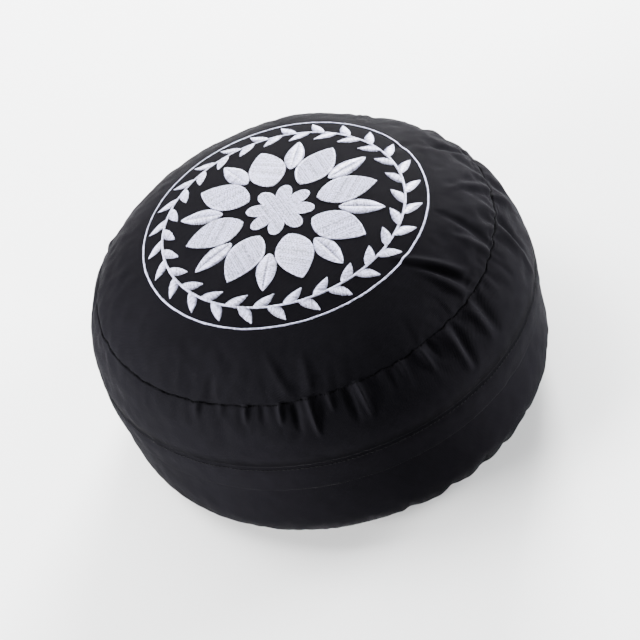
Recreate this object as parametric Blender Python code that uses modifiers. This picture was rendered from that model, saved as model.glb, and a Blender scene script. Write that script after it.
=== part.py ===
"""Round meditation cushion: one filled cover with a domed top panel, a gathered side band, a flap
over the side opening, and a raised embroidery of a petal rosette, a leaf wreath and a ring.

Metres, +Z up. The origin is on the floor, under the middle of the cushion.
"""

import bisect
import math

import bmesh
import bpy
from mathutils import Vector
from mathutils.bvhtree import BVHTree

MM = 0.001

# Mesh counts
STEPS_ROUND = 132
WREATH_STEPS = 84

# Cloth and seams
CLOTH_GAP = 0.3 * MM
TOP_SEAM_DEPTH = 2.4 * MM
BOTTOM_SEAM_DEPTH = 2.6 * MM
SEAM_HALF_WIDTH = 3.2 * MM
BOTTOM_PUCKERS = 22
BOTTOM_PUCKER_HEIGHT = 0.7 * MM
BOTTOM_PUCKER_REACH = 14.0 * MM

# The flap over the side opening, sewn along its top and free along its lower edge
FLAP_THICKNESS = 1.5 * MM
FLAP_BILLOW = 0.4 * MM
FLAP_SEAM_DEPTH = 1.3 * MM
BAND_RECOVERY = 30.0 * MM

# The outline of the cushion from the middle of the crown, over the side, to the floor.
# shift moves a section's centre, oval widens it along X or the diagonal, tilt slopes it. All in mm.
SECTIONS = (
    # name, radius, height, shift_x, shift_y, oval_x, oval_diagonal, tilt_x, tilt_y
    ("crown", 0.0, 182.0, 0.0, 0.0, 0.0, 0.0, 0.0, 0.0),
    ("crown slope", 50.0, 180.3, 0.0, 0.0, 0.0, 0.0, 0.0, 0.0),
    ("inside ring", 85.0, 175.8, 0.0, 0.3, -0.3, 0.0, 0.2, 0.0),
    ("ring", 107.0, 170.0, 0.0, 0.6, -0.6, 0.1, 0.3, 0.1),
    ("shoulder", 131.5, 158.3, -0.8, 0.6, 0.0, 0.3, 0.0, -0.3),
    ("top seam", 151.8, 138.9, -1.4, 0.7, 0.9, 0.6, -0.4, -0.7),
    ("under seam", 160.6, 126.0, -0.8, 0.3, -0.6, 0.0, -0.3, -0.4),
    ("belly", 167.2, 110.4, -0.4, 0.0, -1.6, -1.8, -0.3, -0.2),
    ("flap top", 170.0, 90.4, 0.7, 0.4, 0.2, -1.8, -0.1, -0.5),
    ("flap edge", 170.2, 68.0, 0.4, 0.6, -0.8, -1.6, 0.0, -0.9),
    ("lower belly", 168.9, 34.0, 1.2, -2.6, -2.4, -2.6, -0.6, 0.0),
    ("turn under", 163.9, 17.0, 1.0, -2.4, -0.6, -2.7, 0.0, 0.0),
    ("bottom seam", 155.2, 7.6, 0.8, -2.0, 1.0, -2.6, 0.0, 0.0),
    ("floor edge", 141.0, 0.0, 0.0, 0.0, 0.0, 0.0, 0.0, 0.0),
    ("base", 0.0, 0.0, 0.0, 0.0, 0.0, 0.0, 0.0, 0.0),
)

# Where the rows of the cushion's mesh lie, in mm along the outline from a section.
ROWS = (
    ("crown", (0, 34, 66)),
    ("ring", (-18, 6)),
    ("top seam", (-24, -13, -6, -2.5, 0, 2.5, 6, 13)),
    ("belly", (-10, 2)),
    ("flap top", (-6, -0.4, -0.05, 3)),
    ("flap edge", (-8, 0.4, 4)),
    ("lower belly", (-12, 2)),
    ("turn under", (-6, 2)),
    ("bottom seam", (-4, 0, 4)),
    ("floor edge", (0,)),
    ("base", (-70, 0)),
)
FLAP_ROWS = (
    ("flap edge", (0, -8)),
    ("flap top", (3, 0.3)),
)

# Creases of the cover. start and end are measured from the top seam: down the band, or up over the
# panel where negative. angle is where a crease leaves its seam, and lean moves its far end round.
# From 32 degrees on the rows lie at the back. Five broad swells and hollows follow them, and the
# last rows run up from the bottom seam.
CREASES = (
    # angle_deg, start_mm, end_mm, lean_mm, half_width_mm, height_mm
    (-112.0, 1.0, 30.0, 0.0, 7.0, -1.6),
    (-107.0, 1.0, 26.0, 2.0, 5.5, 1.2),
    (-103.5, 1.0, 32.0, 4.0, 6.5, -2.0),
    (-99.8, 1.0, 38.0, 9.0, 6.5, 2.4),
    (-96.4, 1.0, 22.0, 4.0, 6.0, -1.4),
    (-93.8, 1.0, 24.0, 6.0, 5.5, 1.3),
    (-88.6, 1.0, 36.0, 7.0, 6.5, -1.9),
    (-85.2, 1.0, 36.0, 4.0, 6.5, 2.2),
    (-77.0, 1.0, 22.0, 0.0, 6.0, -1.4),
    (-67.0, 1.0, 24.0, 2.0, 6.5, 1.6),
    (-58.0, 0.5, 36.0, -2.0, 7.0, 3.0),
    (-55.6, 0.5, 38.0, -4.0, 6.5, -2.4),
    (-48.0, 0.5, 34.0, -2.0, 7.0, 2.6),
    (-44.2, 0.5, 34.0, -5.0, 6.5, -2.3),
    (-17.2, 0.5, 48.0, -14.0, 7.0, 2.6),
    (-13.4, 0.5, 38.0, -12.0, 6.5, -2.2),
    (-5.0, 0.5, 38.0, 5.5, 7.0, 2.0),
    (1.5, 0.5, 28.0, 0.0, 6.5, -1.6),
    (-40.0, -11.0, -66.0, -21.0, 6.5, 2.4),
    (-42.4, -6.0, -56.0, -17.0, 6.5, -2.2),
    (-45.6, -2.0, -46.0, -10.0, 6.5, 2.2),
    (-29.0, -1.0, -38.0, -2.5, 6.0, 1.5),
    (-25.2, -2.0, -52.0, 6.0, 6.5, -1.9),
    (-1.6, -1.0, -44.0, -16.0, 7.0, 1.3),
    (15.1, -1.0, -44.0, 4.0, 7.0, -1.7),
    (19.5, -38.0, -72.0, 2.0, 7.5, -1.4),
    (-104.0, -2.0, -46.0, -17.0, 6.5, 1.3),
    (-98.0, -2.0, -44.0, -1.0, 6.5, 1.3),
    (-137.3, -3.0, -28.0, -3.0, 6.0, 0.8),
    (-126.8, 1.0, -22.0, 0.0, 6.0, -1.3),
    (32.0, 0.5, 40.0, 6.0, 7.0, 2.2),
    (37.0, 0.5, 34.0, 8.0, 6.5, -1.8),
    (58.0, 0.5, 26.0, -3.0, 7.0, 1.7),
    (76.0, 0.5, 44.0, -11.0, 7.0, 2.6),
    (80.5, 0.5, 38.0, -9.0, 6.5, -2.0),
    (101.0, 0.5, 30.0, 4.0, 7.0, -1.7),
    (118.0, 0.5, 42.0, 10.0, 7.0, 2.3),
    (124.0, 0.5, 24.0, 3.0, 6.5, -1.4),
    (147.0, 0.5, 34.0, -6.0, 7.0, 1.8),
    (171.0, 0.5, 26.0, 2.0, 7.0, -1.3),
    (77.0, 4.0, -60.0, 0.0, 28.0, 1.6),
    (50.0, 4.0, -60.0, 0.0, 20.0, -1.4),
    (8.0, -6.0, 48.0, 0.0, 22.0, 1.5),
    (-14.0, 2.0, 48.0, 0.0, 18.0, -1.8),
    (-168.0, 2.0, 48.0, 0.0, 26.0, -1.6),
    (-44.0, 142.0, 114.0, 0.0, 6.0, -2.4),
    (-48.8, 142.0, 116.0, 0.0, 6.0, -1.8),
    (-52.0, 142.0, 114.0, 0.0, 6.0, 2.2),
    (-55.0, 142.0, 114.0, 0.0, 6.0, -2.6),
    (-59.0, 142.0, 112.0, 0.0, 7.0, 2.0),
    (-62.6, 142.0, 110.0, 1.0, 6.0, -3.2),
    (-66.6, 142.0, 112.0, 0.0, 7.0, 2.2),
    (-72.0, 142.0, 112.0, -1.0, 6.5, -2.6),
    (-76.0, 142.0, 114.0, 0.0, 7.0, 1.8),
    (-84.0, 142.0, 116.0, 0.0, 7.0, -2.0),
    (-36.0, 142.0, 116.0, 0.0, 7.0, -1.8),
    (-20.0, 142.0, 114.0, 1.0, 7.0, -2.2),
    (12.0, 142.0, 112.0, 0.0, 7.0, -2.4),
    (47.0, 142.0, 114.0, -1.0, 7.0, -2.0),
    (83.0, 142.0, 112.0, 0.0, 7.0, -2.6),
    (121.0, 142.0, 114.0, 1.0, 7.0, -2.0),
    (158.0, 142.0, 114.0, 0.0, 7.0, -2.2),
)

# The embroidery, on the crown, with one petal along the figure's own upright
FIGURE_TURN = math.radians(67.0)
PETALS = 8
STITCH_HEIGHT = 1.0 * MM
STITCH_GAP = 0.4 * MM
STITCH_DOME = 0.3 * MM
RING_RADIUS = 106.8 * MM
RING_WIDTH = 2.6 * MM
WREATH_RADIUS = 91.0 * MM
WREATH_WIDTH = 2.0 * MM
WREATH_SINK = 0.12 * MM
WREATH_PAIRS = 26
LEAF_LENGTH = 17.5 * MM
LEAF_WIDTH = 7.2 * MM
LEAF_TIP_WIDTH = 0.8 * MM
LEAF_ANGLE = math.radians(39.0)
LEAF_BEND = 1.2 * MM
LEAF_STEPS = 4
FLOWER_NOTCH = 13.0 * MM
FLOWER_TIP = 26.0 * MM
FLOWER_STEPS = 40
PETAL_SIZES = (
    # name, start_mm, tip_mm, width_mm, turn in petals, columns, rows
    ("large_petal", 28.0, 73.0, 28.0, 0.5, 6, 4),
    ("small_petal", 44.0, 77.5, 15.0, 0.0, 5, 2),
)

BLACK_TWILL = {"colour": (0.024, 0.024, 0.027, 1.0), "roughness": 0.86}
SILVER_THREAD = {"colour": (0.60, 0.61, 0.69, 1.0), "roughness": 0.45}


def smooth(share):
    """Goes from 0 to 1 with level ends."""
    share = min(max(share, 0.0), 1.0)
    return share * share * (3.0 - 2.0 * share)


# The outline as curves of the distance along it


def distances_along():
    """How far along the outline each section lies, from the crown."""
    along = [0.0]
    for before, after in zip(SECTIONS, SECTIONS[1:]):
        step = math.hypot(after[1] - before[1], after[2] - before[2])
        along.append(along[-1] + step * MM)
    return along


ALONG = distances_along()
PLACE = {section[0]: along for section, along in zip(SECTIONS, ALONG)}


def curve_through(column, level_ends=True):
    """A smooth curve through one column of the sections, with no overshoot, in metres."""
    values = [section[column] * MM for section in SECTIONS]
    gaps = [b - a for a, b in zip(ALONG, ALONG[1:])]
    secants = [(b - a) / gap for a, b, gap in zip(values, values[1:], gaps)]
    inner = [2 * a * b / (a + b) if a * b > 0 else 0.0 for a, b in zip(secants, secants[1:])]
    first, last = (0.0, 0.0) if level_ends else (secants[0], secants[-1])
    slopes = [first, *inner, last]

    def value_at(along):
        i = min(max(bisect.bisect_right(ALONG, along) - 1, 0), len(gaps) - 1)
        t = (along - ALONG[i]) / gaps[i]
        between = values[i] * (1 + 2 * t) * (1 - t) ** 2 + values[i + 1] * t * t * (3 - 2 * t)
        lean = slopes[i] * t * (1 - t) ** 2 - slopes[i + 1] * t * t * (1 - t)
        return between + gaps[i] * lean

    return value_at


radius_at = curve_through(1, level_ends=False)
height_at = curve_through(2)
shift_x_at = curve_through(3)
shift_y_at = curve_through(4)
oval_x_at = curve_through(5)
oval_diagonal_at = curve_through(6)
tilt_x_at = curve_through(7)
tilt_y_at = curve_through(8)


def row_distances(table):
    """How far along the outline each row of a table lies."""
    return [PLACE[name] + offset * MM for name, offsets in table for offset in offsets]


# The surface of the cover


def crease_rise(angle, along):
    """What the creases add at one place of the cover."""
    from_seam = along - PLACE["top seam"]
    rise = 0.0
    for crease_deg, start, end, lean, half_width, height in CREASES:
        share = (from_seam - start * MM) / ((end - start) * MM)
        if not 0.0 < share < 1.0:
            continue
        turn = math.remainder(angle - math.radians(crease_deg), math.tau)
        across = (turn * radius_at(along) - lean * MM * share) / (half_width * MM)
        swell = 2.6 * math.sqrt(share) * (1.0 - share)
        rise += height * MM * swell * math.exp(-across * across)
    return rise


def pucker_rise(angle, along):
    """The short gathers on both sides of the bottom seam, uneven round the cushion."""
    if along >= PLACE["floor edge"]:
        return 0.0
    fade = math.exp(-abs(along - PLACE["bottom seam"]) / BOTTOM_PUCKER_REACH)
    to_floor = smooth((PLACE["floor edge"] - along) / (PLACE["floor edge"] - PLACE["bottom seam"]))
    uneven = 0.65 + 0.35 * math.sin(5.0 * angle + 1.0)
    wave = math.cos(BOTTOM_PUCKERS * angle + 1.3 * math.sin(3.0 * angle))
    return BOTTOM_PUCKER_HEIGHT * wave * uneven * fade * to_floor


def seam_rise(along):
    """The seams, each drawn in along a narrow line."""
    top = math.exp(-abs(along - PLACE["top seam"]) / SEAM_HALF_WIDTH)
    flap = math.exp(-abs(along - PLACE["flap top"]) / SEAM_HALF_WIDTH)
    bottom = math.exp(-abs(along - PLACE["bottom seam"]) / SEAM_HALF_WIDTH)
    return -TOP_SEAM_DEPTH * top - FLAP_SEAM_DEPTH * flap - BOTTOM_SEAM_DEPTH * bottom


def flap_recess(along):
    """How far the band lies back under the flap, and for a way below its free edge."""
    depth = FLAP_THICKNESS + CLOTH_GAP
    if along < PLACE["flap top"] - CLOTH_GAP:
        return 0.0
    return depth * (1.0 - smooth((along - PLACE["flap edge"]) / BAND_RECOVERY))


def cover_point(angle, along, lift=0.0):
    """A point of the cover: the uneven outline, moved along its outward direction."""
    c, s = math.cos(angle), math.sin(angle)
    c2, s2 = math.cos(2 * angle), math.sin(2 * angle)
    radius = radius_at(along) + shift_x_at(along) * c + shift_y_at(along) * s
    radius += oval_x_at(along) * c2 + oval_diagonal_at(along) * s2
    height = height_at(along) + tilt_x_at(along) * c + tilt_y_at(along) * s
    if along < PLACE["floor edge"]:
        step = 0.5 * MM
        before, after = max(along - step, 0.0), along + step
        out = Vector((height_at(before) - height_at(after), radius_at(after) - radius_at(before)))
        out.normalize()
        rise = lift + seam_rise(along) + crease_rise(angle, along) + pucker_rise(angle, along)
        radius += rise * out.x
        height += rise * out.y
    return Vector((radius * c, radius * s, max(height, 0.0)))


# Objects


def clear_scene():
    for old in list(bpy.data.objects):
        bpy.data.objects.remove(old)


def new_material(name, look):
    material = bpy.data.materials.new(name)
    material.use_nodes = True
    shader = material.node_tree.nodes["Principled BSDF"]
    shader.inputs["Base Color"].default_value = look["colour"]
    shader.inputs["Roughness"].default_value = look["roughness"]
    shader.inputs["Metallic"].default_value = 0.0
    return material


def new_object(name, bm, collection, material):
    """Makes a shaded object of a bmesh."""
    mesh = bpy.data.meshes.new(name)
    bm.to_mesh(mesh)
    bm.free()
    mesh.shade_smooth()
    mesh.set_sharp_from_angle(angle=math.radians(50.0))
    mesh.materials.append(material)
    thing = bpy.data.objects.new(name, mesh)
    collection.objects.link(thing)
    return thing


def give_thickness(thing, thickness):
    """Grows a sheet outwards into a closed solid."""
    solidify = thing.modifiers.new("thickness", "SOLIDIFY")
    solidify.thickness = thickness
    solidify.offset = 1.0
    solidify.use_even_offset = True


def grid_over(columns, rows, place, closed=False):
    """A grid whose corners go where place(u, v) says, both from 0 to 1; closed joins its two ends."""
    bm = bmesh.new()
    bmesh.ops.create_grid(bm, x_segments=columns, y_segments=rows, size=1.0)
    for vert in bm.verts:
        vert.co = place((vert.co.x + 1.0) / 2.0, (vert.co.y + 1.0) / 2.0)
    if closed:
        bmesh.ops.remove_doubles(bm, verts=bm.verts, dist=0.01 * MM)
    return bm


# The cushion and its flap


def build_cushion(collection, material):
    """The filled cover as one solid: a sphere whose rows are laid along the outline."""
    rows = row_distances(ROWS)
    bands = len(rows) - 1
    bm = bmesh.new()
    bmesh.ops.create_uvsphere(bm, u_segments=STEPS_ROUND, v_segments=bands, radius=1.0)
    for vert in bm.verts:
        row = round(math.acos(min(max(vert.co.z, -1.0), 1.0)) / math.pi * bands)
        angle = math.atan2(vert.co.y, vert.co.x)
        vert.co = cover_point(angle, rows[row], -flap_recess(rows[row]))
    crown = BVHTree.FromBMesh(bm)
    new_object("cushion", bm, collection, material)
    return crown


def build_flap(collection, material):
    """The strip that covers the side opening, all the way round."""
    rows = row_distances(FLAP_ROWS)
    last = len(rows) - 1

    def place(u, v):
        along = rows[round(v * last)]
        billow = FLAP_BILLOW * math.sin(math.pi * v)
        return cover_point(math.tau * u, along, billow - FLAP_THICKNESS)

    sheet = grid_over(STEPS_ROUND, last, place, closed=True)
    flap = new_object("side_flap", sheet, collection, material)
    give_thickness(flap, FLAP_THICKNESS)


# The embroidery


def on_crown(crown, x, y, lift):
    """A point above the top panel, at its height there."""
    hit = crown.ray_cast(Vector((x, y, 1.0)), Vector((0.0, 0.0, -1.0)))[0]
    return hit + Vector((0.0, 0.0, lift))


def leaf_half_width(share, width):
    """Half the width of a leaf or petal, which narrows to a point at its tip."""
    swell = math.sin(math.pi * share**0.85) if 0.0 < share < 1.0 else 0.0
    return max(width / 2.0 * max(swell, 0.0) ** 0.8, LEAF_TIP_WIDTH / 2.0)


def petal_place(crown, angle, start, tip, width):
    """Lays a petal's grid on the crown, from its foot at start to its tip."""
    out = Vector((math.cos(angle), math.sin(angle)))
    left = Vector((-out.y, out.x))

    def place(u, v):
        side = 2.0 * v - 1.0
        flat = out * (start + (tip - start) * u) + left * side * leaf_half_width(u, width)
        return on_crown(crown, flat.x, flat.y, STITCH_GAP + STITCH_DOME * (1.0 - side * side))

    return place


def leaf_place(crown, angle, outward):
    """Lays a leaf's grid on the crown, from the wreath's stem, slanting outward or inward."""
    foot = Vector((math.cos(angle), math.sin(angle))) * WREATH_RADIUS
    tangent = Vector((-math.sin(angle), math.cos(angle)))
    radial = Vector((math.cos(angle), math.sin(angle))) * outward
    ahead = tangent * math.cos(LEAF_ANGLE) + radial * math.sin(LEAF_ANGLE)
    left = Vector((-ahead.y, ahead.x))

    def place(u, v):
        side = 2.0 * v - 1.0
        bend = LEAF_BEND * outward * math.sin(math.pi * u)
        flat = foot + ahead * LEAF_LENGTH * u + left * (side * leaf_half_width(u, LEAF_WIDTH) + bend)
        return on_crown(crown, flat.x, flat.y, STITCH_GAP)

    return place


def band_place(crown, radius, width, lift):
    """Lays a round band on the crown, inner edge last."""

    def place(u, v):
        r = radius + width * (0.5 - v)
        x, y = r * math.cos(math.tau * u), r * math.sin(math.tau * u)
        return on_crown(crown, x, y, lift)

    return place


def build_ring(crown, collection, material):
    place = band_place(crown, RING_RADIUS, RING_WIDTH, STITCH_GAP)
    sheet = grid_over(STEPS_ROUND, 1, place, closed=True)
    ring = new_object("embroidered_ring", sheet, collection, material)
    give_thickness(ring, STITCH_HEIGHT)


def build_wreath(crown, collection, cutters, material):
    """A round stem with leaves on both sides, joined into one solid."""
    place = band_place(crown, WREATH_RADIUS, WREATH_WIDTH, STITCH_GAP + WREATH_SINK)
    stem = grid_over(WREATH_STEPS, 1, place, closed=True)
    wreath = new_object("leaf_wreath", stem, collection, material)
    give_thickness(wreath, STITCH_HEIGHT - 2.0 * WREATH_SINK)
    leaves = bmesh.new()
    pitch = math.tau / WREATH_PAIRS
    for pair in range(WREATH_PAIRS):
        for outward in (1.0, -1.0):
            angle = FIGURE_TURN + pitch * (pair + 0.25 * outward)
            leaf = grid_over(LEAF_STEPS, 1, leaf_place(crown, angle, outward))
            mesh = bpy.data.meshes.new("leaf")
            leaf.to_mesh(mesh)
            leaf.free()
            leaves.from_mesh(mesh)
            bpy.data.meshes.remove(mesh)
    leaf_sheets = new_object("wreath_leaves", leaves, cutters, material)
    give_thickness(leaf_sheets, STITCH_HEIGHT)
    leaf_sheets.hide_render = True
    leaf_sheets.display_type = "WIRE"
    join = wreath.modifiers.new("leaves", "BOOLEAN")
    join.operation = "UNION"
    join.object = leaf_sheets


def build_petals(crown, collection, material):
    """Two rounds of petals, the small ones between the large."""
    pitch = math.tau / PETALS
    for name, start, tip, width, turn, columns, rows in PETAL_SIZES:
        for number in range(PETALS):
            angle = FIGURE_TURN + pitch * (number + turn)
            place = petal_place(crown, angle, start * MM, tip * MM, width * MM)
            sheet = grid_over(columns, rows, place)
            petal = new_object(f"{name}_{number + 1}", sheet, collection, material)
            give_thickness(petal, STITCH_HEIGHT)


def build_flower(crown, collection, material):
    """The middle of the rosette, one lobe for each small petal."""

    def place(u, v):
        angle = math.tau * u
        lobe = abs(math.cos(PETALS / 2.0 * angle)) ** 0.7
        r = (FLOWER_NOTCH + (FLOWER_TIP - FLOWER_NOTCH) * lobe) * (1.0 - v)
        turned = angle + FIGURE_TURN
        return on_crown(crown, r * math.cos(turned), r * math.sin(turned), STITCH_GAP)

    sheet = grid_over(FLOWER_STEPS, 3, place, closed=True)
    flower = new_object("centre_flower", sheet, collection, material)
    give_thickness(flower, STITCH_HEIGHT)


def main():
    clear_scene()
    parts = bpy.data.collections.new("meditation_cushion")
    cutters = bpy.data.collections.new("cutters")
    bpy.context.scene.collection.children.link(parts)
    bpy.context.scene.collection.children.link(cutters)
    cloth = new_material("black_twill", BLACK_TWILL)
    thread = new_material("silver_thread", SILVER_THREAD)
    crown = build_cushion(parts, cloth)
    build_flap(parts, cloth)
    build_ring(crown, parts, thread)
    build_wreath(crown, parts, cutters, thread)
    build_petals(crown, parts, thread)
    build_flower(crown, parts, thread)


main()
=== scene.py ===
import math

import bmesh
import bpy
import numpy as np
from mathutils import Matrix, Vector
from mathutils.bvhtree import BVHTree


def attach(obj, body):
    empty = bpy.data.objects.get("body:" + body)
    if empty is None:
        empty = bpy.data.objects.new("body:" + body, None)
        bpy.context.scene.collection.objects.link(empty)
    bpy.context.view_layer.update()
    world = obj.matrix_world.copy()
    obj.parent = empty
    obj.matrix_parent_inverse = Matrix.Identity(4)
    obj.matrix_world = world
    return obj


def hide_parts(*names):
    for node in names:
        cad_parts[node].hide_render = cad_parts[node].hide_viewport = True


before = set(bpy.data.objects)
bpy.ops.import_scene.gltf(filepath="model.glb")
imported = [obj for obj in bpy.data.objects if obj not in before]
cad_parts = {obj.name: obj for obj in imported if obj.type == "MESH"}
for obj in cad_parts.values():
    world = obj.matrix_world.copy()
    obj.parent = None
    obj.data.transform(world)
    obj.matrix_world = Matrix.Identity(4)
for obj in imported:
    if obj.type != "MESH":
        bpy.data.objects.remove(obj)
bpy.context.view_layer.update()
mm = 0.001


# The cover's outline, from the middle of the crown, over the side, to the middle of the base

coverOutline = {
    "sections": (
        # name, radius, height, shiftX, shiftY, ovalX, ovalDiagonal, tiltX, tiltY   (mm)
        ("crown", 0.0, 182.0, 0.0, 0.0, 0.0, 0.0, 0.0, 0.0),
        ("crownSlope", 50.0, 180.3, 0.0, 0.0, 0.0, 0.0, 0.0, 0.0),
        ("insideRing", 85.0, 175.8, 0.0, 0.3, -0.3, 0.0, 0.2, 0.0),
        ("ring", 107.0, 170.0, 0.0, 0.6, -0.6, 0.1, 0.3, 0.1),
        ("shoulder", 131.5, 158.3, -0.8, 0.6, 0.0, 0.3, 0.0, -0.3),
        ("topSeam", 151.8, 138.9, -1.4, 0.7, 0.9, 0.6, -0.4, -0.7),
        ("underSeam", 160.6, 126.0, -0.8, 0.3, -0.6, 0.0, -0.3, -0.4),
        ("belly", 167.2, 110.4, -0.4, 0.0, -1.6, -1.8, -0.3, -0.2),
        ("flapTop", 170.0, 90.4, 0.7, 0.4, 0.2, -1.8, -0.1, -0.5),
        ("flapEdge", 170.2, 68.0, 0.4, 0.6, -0.8, -1.6, 0.0, -0.9),
        ("lowerBelly", 168.9, 34.0, 1.2, -2.6, -2.4, -2.6, -0.6, 0.0),
        ("turnUnder", 163.9, 17.0, 1.0, -2.4, -0.6, -2.7, 0.0, 0.0),
        ("bottomSeam", 155.2, 7.6, 0.8, -2.0, 1.0, -2.6, 0.0, 0.0),
        ("floorEdge", 141.0, 0.0, 0.0, 0.0, 0.0, 0.0, 0.0, 0.0),
        ("base", 0.0, 0.0, 0.0, 0.0, 0.0, 0.0, 0.0, 0.0),
    ),
    "soften": 4.0,  # mm over which the outline's bends are evened out
}

sectionNames = [section[0] for section in coverOutline["sections"]]
sectionSizes = np.array([section[1:] for section in coverOutline["sections"]]) * mm
sectionAlong = np.concatenate(([0.0], np.cumsum(np.hypot(*np.diff(sectionSizes[:, :2], axis=0).T))))
place = dict(zip(sectionNames, sectionAlong))
sideRadius = 0.160  # metres, for laying cloth flat round the side


def curveThrough(values, levelStart=True):
    # a curve through one value for each section that never overshoots them
    gaps = np.diff(sectionAlong)
    rises = np.diff(values) / gaps
    slopes = np.zeros(len(values))
    product = rises[:-1] * rises[1:]
    same = product > 0
    slopes[1:-1][same] = 2 * product[same] / (rises[:-1] + rises[1:])[same]
    if not levelStart:
        slopes[0], slopes[-1] = rises[0], rises[-1]

    def valueAt(along):
        i = np.clip(np.searchsorted(sectionAlong, along, side="right") - 1, 0, len(gaps) - 1)
        t = (along - sectionAlong[i]) / gaps[i]
        between = values[i] * (1 + 2 * t) * (1 - t) ** 2 + values[i + 1] * t * t * (3 - 2 * t)
        return between + gaps[i] * (slopes[i] * t * (1 - t) ** 2 - slopes[i + 1] * t * t * (1 - t))

    return valueAt


def softened(values, step, width):
    reach = int(3 * width / step)
    kernel = np.exp(-0.5 * (np.arange(-reach, reach + 1) * step / width) ** 2)
    return np.convolve(np.pad(values, reach, mode="edge"), kernel / kernel.sum(), mode="valid")


outlineStep = 0.5 * mm
outlineStops = np.arange(0.0, sectionAlong[-1] + outlineStep, outlineStep)
sectionCurves = [curveThrough(sectionSizes[:, k], levelStart=k > 0) for k in range(8)]
outlineValues = [curve(outlineStops) for curve in sectionCurves]


def evenOut():
    # soft bends everywhere but at the crown's middle and on the floor
    width = coverOutline["soften"] * mm
    turnUnder, bottomSeam = place["turnUnder"], place["bottomSeam"]
    nearFloor = np.clip((outlineStops - turnUnder) / (bottomSeam - turnUnder), 0, 1)
    for k, mirror in ((0, -1.0), (1, 1.0)):  # across the middle only the radius changes its sign
        values = outlineValues[k]
        mirrored = np.concatenate((mirror * values[:0:-1], values))
        smooth = softened(mirrored, outlineStep, width)[len(outlineStops) - 1 :]
        outlineValues[k] = smooth * (1 - nearFloor) + values * nearFloor


evenOut()
outwardR = -np.gradient(outlineValues[1], outlineStep)
outwardZ = np.gradient(outlineValues[0], outlineStep)
outwardLength = np.hypot(outwardR, outwardZ)
outwardR, outwardZ = outwardR / outwardLength, outwardZ / outwardLength


def outlineAt(values, along):
    return np.interp(along, outlineStops, values)


def coverPoints(angles, along, lift):
    # angles across, along and lift down the rows: along and lift are arrays of rows by columns
    values = [outlineAt(each, along) for each in outlineValues]
    radius, height, shiftX, shiftY, ovalX, ovalDiagonal, tiltX, tiltY = values
    c, s = np.cos(angles), np.sin(angles)
    radius = radius + shiftX * c + shiftY * s
    radius = radius + ovalX * np.cos(2 * angles) + ovalDiagonal * np.sin(2 * angles)
    height = height + tiltX * c + tiltY * s
    radius = radius + lift * outlineAt(outwardR, along)
    height = np.maximum(height + lift * outlineAt(outwardZ, along), 0.0)
    return np.stack((radius * c, radius * s, height), axis=-1)


# The relief of the cover: creases, gathers and sunk seams

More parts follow.
